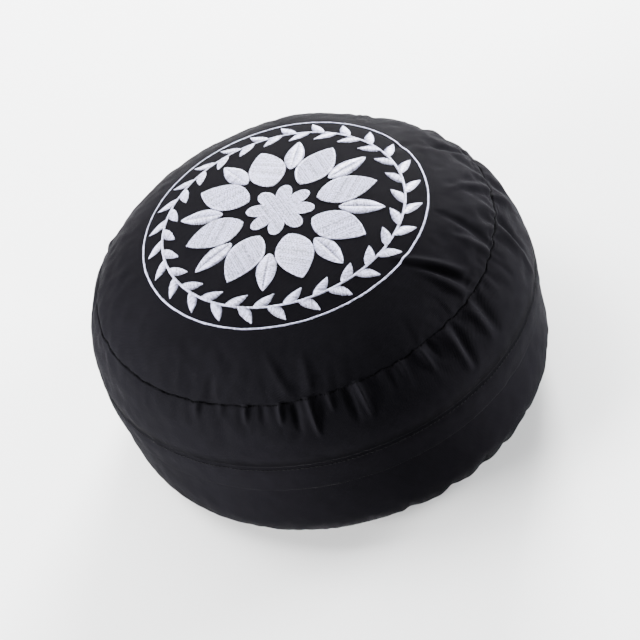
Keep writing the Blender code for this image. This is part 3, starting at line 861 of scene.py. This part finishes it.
def gatherCloth(angles, along):
    # lets the slack cloth beside the seams buckle under the filling's pressure
    flatRows = np.tile(along[:, None], len(angles))
    narrower = coverRelief["narrower"] * clothSettings["wider"]
    lift = creaseRelief(angles, flatRows, narrower)
    lift = (lift + gatherRelief(angles, flatRows)) * aboveFloor(flatRows)
    start = coverPoints(angles, flatRows, lift)
    thing = closedShell("cover_rehearsal", start, twill)
    groupByRow(thing, "held", holdAt(along[1:-1]), len(angles))
    groupByRow(thing, "tight", 1.0 - slackAt(along[1:-1]), len(angles))
    delta = np.zeros_like(start)
    delta[1:-1] = simulated(thing)[1:-1].reshape(delta[1:-1].shape) - start[1:-1]
    bpy.data.objects.remove(thing)
    bpy.context.scene.frame_set(1)
    # the cover keeps its sizes: only the folds are taken over, and no point moves past the cap
    outward = np.stack((np.cos(angles), np.sin(angles)), -1)
    radial = (delta[..., :2] * outward[None]).sum(-1)
    delta[..., :2] -= radial.mean(1)[:, None, None] * outward[None]
    delta[..., 2] -= delta[..., 2].mean(1)[:, None]
    size = np.linalg.norm(delta, axis=-1, keepdims=True)
    largest, mean = (round(float(value) / mm, 3) for value in (size.max(), size.mean()))
    print("cloth moved by up to", largest, "mm, mean", mean)
    cap = clothSettings["cap"] * mm
    delta *= cap * np.tanh(size / cap) / np.maximum(size, 1e-9)
    return delta * gatheredAt(angles, flatRows)[..., None]


def finer(delta):
    # twice as many rows and columns, evened over the new points
    rows, columns = delta.shape[:2]
    wide = np.zeros((rows, columns * 2, 3))
    wide[:, ::2] = delta
    wide[:, 1::2] = 0.5 * (delta + np.roll(delta, -1, axis=1))
    wide = 0.25 * np.roll(wide, 1, axis=1) + 0.5 * wide + 0.25 * np.roll(wide, -1, axis=1)
    tall = np.zeros((rows * 2 - 1, columns * 2, 3))
    tall[::2] = wide
    tall[1::2] = 0.5 * (wide[1:] + wide[:-1])
    tall[1:-1] = 0.25 * tall[:-2] + 0.5 * tall[1:-1] + 0.25 * tall[2:]
    return tall


def halfwayRows(along):
    full = np.zeros(len(along) * 2 - 1)
    full[::2] = along
    full[1::2] = 0.5 * (along[1:] + along[:-1])
    return full


coarseRows = rowStops(coverMesh["rows"])[::2]
coarseRows[-1] = sectionAlong[-1]
rowAlong = halfwayRows(coarseRows)
evenAngles = np.arange(coverMesh["columns"]) * math.tau / coverMesh["columns"]
denseAt = math.radians(coverMesh["denseAt"])
columnAngles = evenAngles - coverMesh["denser"] * np.sin(evenAngles - denseAt)
folds = finer(gatherCloth(columnAngles[::2], coarseRows))
finePoints = dressedPoints(columnAngles, np.tile(rowAlong[:, None], len(columnAngles))) + folds
finePoints[..., 2] = np.maximum(finePoints[..., 2], 0.0)
finePoints[0] = finePoints[0].mean(0)
finePoints[-1] = (0.0, 0.0, 0.0)
cover = closedShell("cushion_cover", finePoints, twill)


def writeValues(thing, name, values):
    attribute = thing.data.attributes.new(name, "FLOAT", "POINT")
    attribute.data.foreach_set("value", np.asarray(values, np.float32))


eachRow = np.repeat(rowAlong[1:-1], len(columnAngles))
writeValues(cover, "coverAlong", np.concatenate(([0.0], eachRow, [rowAlong[-1]])))
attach(cover, "root")
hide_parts("cushion")
print("cover:", len(rowAlong), "rows,", 2 * len(cover.data.polygons), "triangles at most")


# The flap round the side

flapSettings = {
    "columns": 512,
    # down the outside, round the folded edge and up the inside:
    # mm below the flap's top, mm off the cover
    "section": (
        (-0.9, -0.8),
        (-0.5, -0.12),
        (0.4, -0.02),
        (1.7, 0.03),
        (3.4, 0.18),
        (5.6, 0.25),
        (8.6, 0.2),
        (12.0, 0.1),
        (15.5, 0.0),
        (18.5, 0.0),
        (20.6, 0.05),
        (21.9, 0.0),
        (22.5, -0.15),
        (22.7, -0.45),
        (22.4, -0.85),
        (21.4, -1.15),
        (17.0, -1.35),
        (10.0, -1.45),
        (3.0, -1.5),
        (0.3, -1.6),
    ),
    "edgeAt": 22.6,  # mm from the flap's top to its folded edge
    # waves round the side, mm
    "edgeWaver": ((3, 7, 11, 19, 31), 0.45),
    "edgeLift": ((4, 9, 13, 22, 34), 0.3),
    "ripples": ((47, 61, 83), 0.25),
    "ripplesAt": 4.0,
    "deepestEdge": 0.1,  # mm that the edge may sink towards the cover
    "seed": 19,
}


def buildFlap():
    angles = np.arange(flapSettings["columns"]) * math.tau / flapSettings["columns"]
    waver, lifted, ripples = (
        wavering(angles, flapSettings[name][0], flapSettings["seed"] + k)[None, :]
        * flapSettings[name][1]
        * mm
        for k, name in enumerate(("edgeWaver", "edgeLift", "ripples"))
    )
    section = np.array(flapSettings["section"]) * mm
    down, off = section[:, :1], section[:, 1:]
    share = np.clip(down / (flapSettings["edgeAt"] * mm), 0, 1)
    below = down + share**2 * waver
    off = off + share**3 * np.maximum(lifted, -flapSettings["deepestEdge"] * mm)
    ripplesAt = flapSettings["ripplesAt"] * mm
    off = off + ripples * np.exp(-(((down - ripplesAt) / ripplesAt) ** 2))
    points = dressedPoints(angles, place["flapTop"] + below, extra=off, recessed=False)
    verts = points.reshape(-1, 3).tolist()
    faces = roundFaces(len(section), len(angles), closedRows=True).reshape(-1, 4).tolist()
    flap = meshObject("flap_over_opening", verts, faces, twill)
    writeValues(flap, "coverAlong", (place["flapTop"] + below).reshape(-1))
    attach(flap, "root")
    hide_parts("side_flap")
    return flap


flap = buildFlap()
print("flap:", 2 * len(flap.data.polygons), "triangles")


# Threads: every stitch is a small tube along its own path


def tubes(paths, radius, sides, taper=0.45):
    turn = np.arange(sides) * math.tau / sides + math.pi / sides
    verts, faces, first = [], [], 0
    for path in paths:
        count = len(path)
        path = path[:, :3]
        ahead = np.gradient(path, axis=0)
        ahead /= np.linalg.norm(ahead, axis=1, keepdims=True) + 1e-12
        up = np.tile((0.0, 0.0, 1.0), (count, 1))
        if abs(ahead[:, 2]).max() > 0.95:
            up = np.tile((1.0, 0.0, 0.0), (count, 1))
        side = np.cross(ahead, up)
        side /= np.linalg.norm(side, axis=1, keepdims=True) + 1e-12
        up = np.cross(side, ahead)
        width = np.full(count, radius)
        width[0] *= taper
        width[-1] *= taper
        ring = path[:, None] + width[:, None, None] * (
            np.cos(turn)[None, :, None] * side[:, None] + np.sin(turn)[None, :, None] * up[:, None]
        )
        verts.append(ring.reshape(-1, 3))
        r, c = np.meshgrid(np.arange(count - 1), np.arange(sides), indexing="ij")
        beside = (c + 1) % sides
        following = (r + 1) * sides
        corners = (r * sides + c, r * sides + beside, following + beside, following + c)
        faces.extend((np.stack(corners, -1).reshape(-1, 4) + first).tolist())
        faces.append(list(range(first + sides - 1, first - 1, -1)))
        faces.append(list(range(first + (count - 1) * sides, first + count * sides)))
        first += count * sides
    return np.concatenate(verts).tolist(), faces


coverTree = BVHTree.FromPolygons(
    [v.co for v in cover.data.vertices], [p.vertices for p in cover.data.polygons]
)


crownReach, crownStep = 118 * mm, 1.0 * mm


def crownHeights():
    # the crown's height on an even grid, for laying the embroidery
    stops = np.arange(-crownReach, crownReach + crownStep, crownStep)
    heights = np.zeros((len(stops), len(stops)))
    for i, x in enumerate(stops):
        for j, y in enumerate(stops):
            hit = coverTree.ray_cast(Vector((x, y, 1.0)), Vector((0.0, 0.0, -1.0)))[0]
            heights[i, j] = hit.z if hit is not None else 0.0
    return stops, heights


crownStops, crownGrid = crownHeights()


def crownHeight(x, y):
    i, j = (np.clip((v - crownStops[0]) / crownStep, 0, len(crownStops) - 2.001) for v in (x, y))
    i0, j0 = i.astype(int), j.astype(int)
    a, b = i - i0, j - j0
    low = crownGrid[i0, j0] * (1 - a) + crownGrid[i0 + 1, j0] * a
    high = crownGrid[i0, j0 + 1] * (1 - a) + crownGrid[i0 + 1, j0 + 1] * a
    return low * (1 - b) + high * b


# The embroidery: a rosette of petals, a wreath of leaves, and a ring round both

embroidery = {
    "turn": 67.0,  # degrees
    "petals": 8,
    "threadRadius": 0.24,
    "threadSides": 4,
    "sunk": (0.05, 0.8),  # below this lift a thread darkens with painted shade, over this depth
    # satin stitches (mm)
    "satinPitch": 0.48,
    "satinFoot": 0.02,  # off the cloth at a stitch's ends
    "satinBow": 0.55,  # below 1, the stitch rises steeply and runs flat
    "jitter": 0.09,
    "height": 0.42,
    "leafHeight": 0.4,
    # fill stitches
    "fillPitch": 0.47,
    "fillStitch": 2.2,
    "fillStray": 0.02,
    "fillStep": 0.3,  # how closely a row is tried against the shape
    "fillMargin": 0.15,
    "fillSlant": 0.95,  # radians from the petal's own line
    "needleDip": 0.42,  # from a needle hole to where the stitch lies flat
    # off the cloth in the needle hole, after it, before it, and halfway to the next
    "needleHeights": (-0.95, 0.28, 0.28, 0.4),
    "rowEnd": -0.05,
    "staggered": (5, 0.4, 0.3),  # rows until the needle points repeat, shift to the next row, stray
    # the ring: radius, width between its needle holes, skew, waves, waver
    "ring": (106.8, 1.25, 0.35, (6, 11, 17, 29, 43), 0.35),
    # the wreath's stem, the same, and its leaves
    "stem": (91.0, 1.7, 0.6, (1,), 0.0),
    "leafPairs": 26,
    "leafLength": 17.5,
    "leafWidth": 7.2,
    "leafAngle": 39.0,
    "leafBend": 1.2,
    "leafSlant": 0.11,
    "tipWidth": 0.8,
    # the rosette: where a petal starts and ends, its width, and its turn in petals
    "flowerNotch": 13.0,
    "flowerTip": 26.0,
    "flowerSlant": 0.6,
    "flowerInset": (0.8, 1.2),  # of the fill and of the edge's inner ends, in edge widths
    "edgeWidth": 1.7,
    "largePetal": (28.0, 73.0, 28.0, 0.5),
    "petalInset": (0.7, 1.25),
    "petalFilled": (0.03, 0.96),  # from where to where along the petal
    "petalEdged": (0.05, 0.94),
    "petalReach": 0.62,  # of its length, from its middle to the last fill stitches
    "petalRound": 1.12,  # the length of one side against the petal's
    "edgeLean": 0.3,
    "smallPetal": (44.0, 77.5, 15.0, 0.0),
    "veinLean": (0.03, 0.93),  # how far stitches start past their place, and end before it
    "veinHeight": 0.6,
    "seed": 31,
}
stitchDraw = np.random.RandomState(embroidery["seed"])


def onCrown(flat, lift):
    # points on the crown, each with how deep it is sunk in the cloth, from 0 to 1, for the thread's
    # painted shade
    low, over = (size * mm for size in embroidery["sunk"])
    sunk = np.clip((low - lift) / over, 0, 1)
    height = crownHeight(flat[:, 0], flat[:, 1]) + lift
    return np.column_stack((flat[:, 0], flat[:, 1], height, sunk))


def satinStitch(start, end, height, startHeight=embroidery["satinFoot"]):
    share = np.linspace(0, 1, 4)
    jitter = stitchDraw.normal(0, embroidery["jitter"] * mm, 2)
    start, end = start + jitter, end - jitter
    flat = start[None] + (end - start)[None] * share[:, None]
    bow = np.sin(math.pi * share) ** embroidery["satinBow"]
    heights = embroidery["satinFoot"] + height * bow
    heights[0] = startHeight
    return onCrown(flat, heights * mm)


def sewnPiece(name, paths, *nodes):
    sides = embroidery["threadSides"]
    verts, faces = tubes(paths, embroidery["threadRadius"] * mm, sides)
    piece = meshObject(name, verts, faces, silverThread)
    tones = np.random.RandomState(len(paths)).uniform(0.0, 1.0, len(paths))
    writeValues(piece, "stitchTone", np.repeat(tones, [len(path) * sides for path in paths]))
    # how far each point is sunk, which sets the painted shade in the needle holes
    sunk = np.concatenate([path[:, 3] for path in paths])
    writeValues(piece, "stitchSunkShade", np.repeat(sunk, sides))
    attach(piece, "root")
    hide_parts(*nodes)
    print(name + ":", len(paths), "stitches,", 2 * len(faces), "triangles at most")
    return piece


def heading(angle):
    # the way out at an angle, and the way to its left
    out = np.array((math.cos(angle), math.sin(angle)))
    return out, np.array((-out[1], out[0]))


def roundStitches(radius, width, skew, waves, waver):
    # satin stitches across a line that runs once round
    count = int(math.tau * radius / embroidery["satinPitch"])
    angles = np.arange(count) * math.tau / count
    radii = (radius + wavering(angles, waves, embroidery["seed"] + 1) * waver) * mm
    paths = []
    for angle, middle in zip(angles, radii):
        out, left = heading(angle)
        start, end = (
            out * (middle + side * width / 2 * mm) + side * skew * mm * left for side in (-1, 1)
        )
        paths.append(satinStitch(start, end, embroidery["leafHeight"]))
    return paths


def leafHalf(share, width):
    swell = np.sin(math.pi * np.clip(share, 0.0, 1.0) ** 0.85)
    return np.maximum(width / 2 * np.maximum(swell, 0.0) ** 0.8, embroidery["tipWidth"] / 2)


def leafOutline(foot, ahead, left, length, width, bend):
    # side is 1 or -1 on the leaf's edges and 0 on its vein
    def at(share, side):
        across = bend * math.sin(math.pi * share) + leafHalf(share, width) * side
        return foot + (ahead * length * share + left * across) * mm

    return at


def leafStitches(at, length):
    # one row of slanting satin stitches from edge to edge
    count = int(length / embroidery["satinPitch"])
    paths = []
    for number in range(count):
        share = (number + 0.5) / count
        slant = embroidery["leafSlant"] * math.sin(math.pi * share)
        start, end = at(max(share - slant, 0.0), 1.0), at(min(share + slant, 1.0), -1.0)
        paths.append(satinStitch(start, end, embroidery["leafHeight"]))
    return paths


def veinedStitches(at, length):
    # two rows of slanting satin stitches that meet on the petal's vein
    count, height = int(length / embroidery["satinPitch"]), embroidery["height"]
    past, before = embroidery["veinLean"]
    paths = []
    for side in (1.0, -1.0):
        for number in range(count):
            inner = (number + 0.5) / count
            start, end = at(min(inner + past, 1.0), 0.0), at(inner * before, side)
            paths.append(satinStitch(start, end, height, embroidery["veinHeight"] * height))
    return paths


def wreathStitches():
    paths = roundStitches(*embroidery["stem"])
    slope = math.radians(embroidery["leafAngle"])
    length, pairs = embroidery["leafLength"], embroidery["leafPairs"]
    for pair in range(pairs):
        for side in (1.0, -1.0):
            angle = math.radians(embroidery["turn"]) + math.tau / pairs * (pair + 0.25 * side)
            out, tangent = heading(angle)
            ahead = tangent * math.cos(slope) + out * side * math.sin(slope)
            left = np.array((-ahead[1], ahead[0]))
            foot, bend = out * embroidery["stem"][0] * mm, embroidery["leafBend"] * side
            at = leafOutline(foot, ahead, left, length, embroidery["leafWidth"], bend)
            paths += leafStitches(at, length)
    return paths


def fillRows(inside, centre, ahead, reach):
    # rows of running stitches across a shape, with the needle points staggered from row to row
    left = np.array((-ahead[1], ahead[0]))
    stitch, dip, margin = (embroidery[k] * mm for k in ("fillStitch", "needleDip", "fillMargin"))
    repeat, rowShift, stray = embroidery["staggered"]
    stops = np.arange(-reach, reach, embroidery["fillStep"] * mm)
    paths = []
    for row, offset in enumerate(np.arange(-reach, reach, embroidery["fillPitch"] * mm)):
        tried = offset + stitchDraw.normal(0, embroidery["fillStray"] * mm)
        line = centre[None] + ahead[None] * stops[:, None] + left[None] * tried
        within = inside(line[:, 0], line[:, 1])
        edges = np.flatnonzero(np.diff(np.concatenate(([0], within.astype(int), [0]))))
        for first, last in zip(edges[::2], edges[1::2]):
            if last - first < 4:
                continue
            low, high = stops[first], stops[last - 1]
            shift = ((row % repeat) * rowShift + stitchDraw.uniform(-stray, stray)) * stitch
            needles = np.arange(low - (low + shift) % stitch, high + stitch, stitch)
            run = np.concatenate((needles, needles + dip, needles - dip, needles + stitch / 2))
            heights = np.repeat(embroidery["needleHeights"], len(needles))
            order = np.argsort(run)
            run, heights = run[order], heights[order]
            kept = (run > low + margin) & (run < high - margin)
            run = np.concatenate(([low], run[kept], [high]))
            ends = [embroidery["rowEnd"]]
            heights = np.concatenate((ends, heights[kept], ends))
            flat = centre[None] + ahead[None] * run[:, None] + left[None] * offset
            paths.append(onCrown(flat, heights * mm))
    return paths


def petalHeading(turn):
    return heading(math.radians(embroidery["turn"]) + math.tau / embroidery["petals"] * turn)


def largePetalStitches(number):
    start, tip, width, turn = embroidery["largePetal"]
    ahead, left = petalHeading(number + turn)
    length = tip - start
    fillInset, edgeInset = (embroidery["edgeWidth"] * inset for inset in embroidery["petalInset"])
    (fillStart, fillEnd), (edgeStart, edgeEnd) = embroidery["petalFilled"], embroidery["petalEdged"]

    def inside(x, y):
        share = ((x * ahead[0] + y * ahead[1]) / mm - start) / length
        across = np.abs(x * left[0] + y * left[1]) / mm
        within = across < leafHalf(share, width) - fillInset
        return (share > fillStart) & (share < fillEnd) & within

    slant = embroidery["fillSlant"]
    slanted = ahead * math.cos(slant) + left * math.sin(slant)
    middle, reach = ahead * (start + 0.5 * length) * mm, embroidery["petalReach"] * length * mm
    paths = fillRows(inside, middle, slanted, reach)
    # a satin edge round the fill
    count = int(embroidery["petalRound"] * length / embroidery["satinPitch"])
    for side in (1.0, -1.0):
        for step in range(count + 1):
            share = step / count
            half = leafHalf(share, width)
            outer = (ahead * (start + length * share) + left * side * half) * mm
            pulled = max(half - edgeInset, 0.0)
            towards = start + length * min(max(share, edgeStart), edgeEnd) + embroidery["edgeLean"]
            inner = (ahead * towards + left * side * pulled) * mm
            paths.append(satinStitch(inner, outer, embroidery["height"]))
    return paths


def smallPetalStitches(number):
    start, tip, width, turn = embroidery["smallPetal"]
    ahead, left = petalHeading(number + turn)
    at = leafOutline(ahead * start * mm, ahead, left, tip - start, width, 0.0)
    return veinedStitches(at, tip - start)


def flowerRadius(angle):
    lobe = np.abs(np.cos(embroidery["petals"] / 2 * angle)) ** 0.7
    return embroidery["flowerNotch"] + (embroidery["flowerTip"] - embroidery["flowerNotch"]) * lobe


def flowerStitches():
    turn = math.radians(embroidery["turn"])
    fillInset, edgeInset = (embroidery["edgeWidth"] * inset for inset in embroidery["flowerInset"])

    def inside(x, y):
        angle = np.arctan2(y, x) - turn
        return np.hypot(x, y) / mm < flowerRadius(angle) - fillInset

    slanted = heading(turn + embroidery["flowerSlant"])[0]
    paths = fillRows(inside, np.zeros(2), slanted, (embroidery["flowerTip"] + 1.0) * mm)
    angles = np.linspace(0, math.tau, 4001)[:-1]
    radii = flowerRadius(angles)
    outline = np.column_stack((radii * np.cos(angles + turn), radii * np.sin(angles + turn)))
    along = np.concatenate(([0], np.cumsum(np.linalg.norm(np.diff(outline, axis=0), axis=1))))
    for stop in np.arange(0, along[-1], embroidery["satinPitch"]):
        outer = np.array([np.interp(stop, along, outline[:, k]) for k in range(2)])
        distance = np.hypot(*outer)
        inner = outer * (1 - edgeInset / distance)
        paths.append(satinStitch(inner * mm, outer * mm, embroidery["height"]))
    return paths


sewnPiece("ring_of_satin_stitches", roundStitches(*embroidery["ring"]), "embroidered_ring")
sewnPiece("wreath_of_leaves", wreathStitches(), "leaf_wreath")
sewnPiece("rosette_middle", flowerStitches(), "centre_flower")
for number in range(embroidery["petals"]):
    sewnPiece(f"filled_petal_{number + 1}", largePetalStitches(number), f"large_petal_{number + 1}")
    sewnPiece(f"satin_petal_{number + 1}", smallPetalStitches(number), f"small_petal_{number + 1}")


# Seam stitches

seamStitching = {
    "threadRadius": 0.26,
    "threadSides": 5,
    "bow": 0.35,
    "stray": 0.08,  # share of the pitch
    "crossReach": 1.3,  # mm that a stitch reaches over its seam
    "crossShares": (0.5, 1.3),
    "crossLean": 0.25,
    "alongShare": 0.42,  # half a stitch against the pitch
    # name, section, then in mm below it, pitch and lift, whether across the seam, thread
    "rows": (
        ("top_seam_stitches", "topSeam", 0.0, 3.4, -0.1, True, seamThread),
        ("flap_topstitching", "flapTop", 2.4, 3.4, 0.42, False, flapThread),
        ("bottom_seam_stitches", "bottomSeam", 0.0, 4.4, -0.1, True, seamThread),
    ),
}


def followFolds(path, angle, along):
    # moves a stitch with the fold that the cloth simulation made under it
    turns = np.floor((angle - columnAngles[0]) / math.tau)
    column = np.interp(angle - turns * math.tau, columnAngles, np.arange(len(columnAngles)))
    row = np.clip(np.searchsorted(rowAlong, along), 0, len(rowAlong) - 1)
    return path + folds[row, np.round(column).astype(int)]


def sideStitches(name, section, below, pitch, lift, acrossSeam, thread):
    radius = float(outlineAt(outlineValues[0], place[section]))
    count = int(math.tau * radius / (pitch * mm))
    draw = np.random.RandomState(len(name))
    bow, stray = seamStitching["bow"] * mm, seamStitching["stray"]
    lean = seamStitching["crossLean"] * mm / radius
    angles, alongs = [], []
    for number in range(count):
        middle = math.tau * (number + draw.uniform(-stray, stray)) / count
        if acrossSeam:
            reach = seamStitching["crossReach"] * mm * draw.uniform(*seamStitching["crossShares"])
            angles.append(middle + np.array((-lean, 0.0, lean)))
            alongs.append(place[section] + np.array((-0.5 * reach, 0.25 * reach, reach)))
        else:
            half = seamStitching["alongShare"] * math.tau / count
            angles.append(middle + np.array((-half, -0.6 * half, 0.0, 0.6 * half, half)))
            alongs.append(place[section] + below * mm + np.zeros(5))
    angles, alongs = np.array(angles), np.array(alongs)
    rise = np.full(angles.shape, lift * mm)
    if acrossSeam:
        rise[:, 1] += bow
    else:
        rise[:, (0, -1)] -= bow
    paths = list(dressedPoints(angles, alongs, extra=rise, recessed=False))
    paths = [followFolds(*stitch) for stitch in zip(paths, angles, alongs)]
    verts, faces = tubes(paths, seamStitching["threadRadius"] * mm, seamStitching["threadSides"])
    piece = meshObject(name, verts, faces, thread)
    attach(piece, "root")
    print(name + ":", count, "stitches")
    return piece


for stitchRow in seamStitching["rows"]:
    sideStitches(*stitchRow)


# Floor, light and camera

stageSettings = {
    "floorSize": 24.0,
    "worldColour": (0.90, 0.91, 0.92),
    "worldStrength": 0.12,
    "lightsAim": (0.0, 0.0, 0.09),
}
lightSettings = (
    # name, place, size, power, colour   (metres, watts)
    ("top_light", (-0.40, 1.50, 3.10), 2.8, 160.0, (1.0, 1.0, 1.0)),
    ("top_left_light", (-1.50, 0.90, 2.60), 1.6, 160.0, (1.0, 1.0, 1.0)),
    ("left_light", (-1.95, -0.40, 0.30), 0.9, 295.0, (1.0, 0.99, 0.99)),
    ("right_light", (1.90, 0.35, 0.17), 0.8, 310.0, (0.99, 0.99, 1.0)),
    ("back_light", (0.85, 2.00, 0.62), 0.7, 320.0, (1.0, 1.0, 1.0)),
)

cameraSettings = {
    "place": (0.0008, -1.1291, 1.1347),
    "elevation": 43.458,
    "roll": -19.34,
    "focalPixels": 2041.0,
    "framePixels": 640,
    "sensor": 36.0,
}


def buildStage():
    bm = bmesh.new()
    bmesh.ops.create_grid(bm, x_segments=8, y_segments=8, size=stageSettings["floorSize"] / 2)
    mesh = bpy.data.meshes.new("studio_floor")
    bm.to_mesh(mesh)
    bm.free()
    mesh.materials.append(paleFloor)
    floor = bpy.data.objects.new("studio_floor", mesh)
    bpy.context.scene.collection.objects.link(floor)
    world = bpy.data.worlds.new("studio")
    world.use_nodes = True
    background = world.node_tree.nodes["Background"]
    background.inputs["Color"].default_value = (*stageSettings["worldColour"], 1.0)
    background.inputs["Strength"].default_value = stageSettings["worldStrength"]
    bpy.context.scene.world = world


def buildLights():
    aim = Vector(stageSettings["lightsAim"])
    for name, where, size, power, colour in lightSettings:
        light = bpy.data.lights.new(name, "AREA")
        light.size = size
        light.energy = power
        light.color = colour
        lamp = bpy.data.objects.new(name, light)
        lamp.location = where
        lamp.rotation_euler = (aim - Vector(where)).to_track_quat("-Z", "Y").to_euler()
        bpy.context.scene.collection.objects.link(lamp)


def buildCamera():
    camera = bpy.data.cameras.new("camera")
    camera.sensor_width = cameraSettings["sensor"]
    across = cameraSettings["focalPixels"] / cameraSettings["framePixels"]
    camera.lens = across * cameraSettings["sensor"]
    elevation, roll = (math.radians(cameraSettings[name]) for name in ("elevation", "roll"))
    right = Vector((1.0, 0.0, 0.0))
    up = Vector((0.0, math.sin(elevation), math.cos(elevation)))
    back = Vector((0.0, -math.cos(elevation), math.sin(elevation)))
    rolledRight = right * math.cos(roll) + up * math.sin(roll)
    rolledUp = up * math.cos(roll) - right * math.sin(roll)
    turn = Matrix((rolledRight, rolledUp, back)).transposed().to_4x4()
    holder = bpy.data.objects.new("camera", camera)
    holder.matrix_world = Matrix.Translation(cameraSettings["place"]) @ turn
    bpy.context.scene.collection.objects.link(holder)
    bpy.context.scene.camera = holder


buildStage()
buildLights()
buildCamera()
print("stage, lights and camera set")
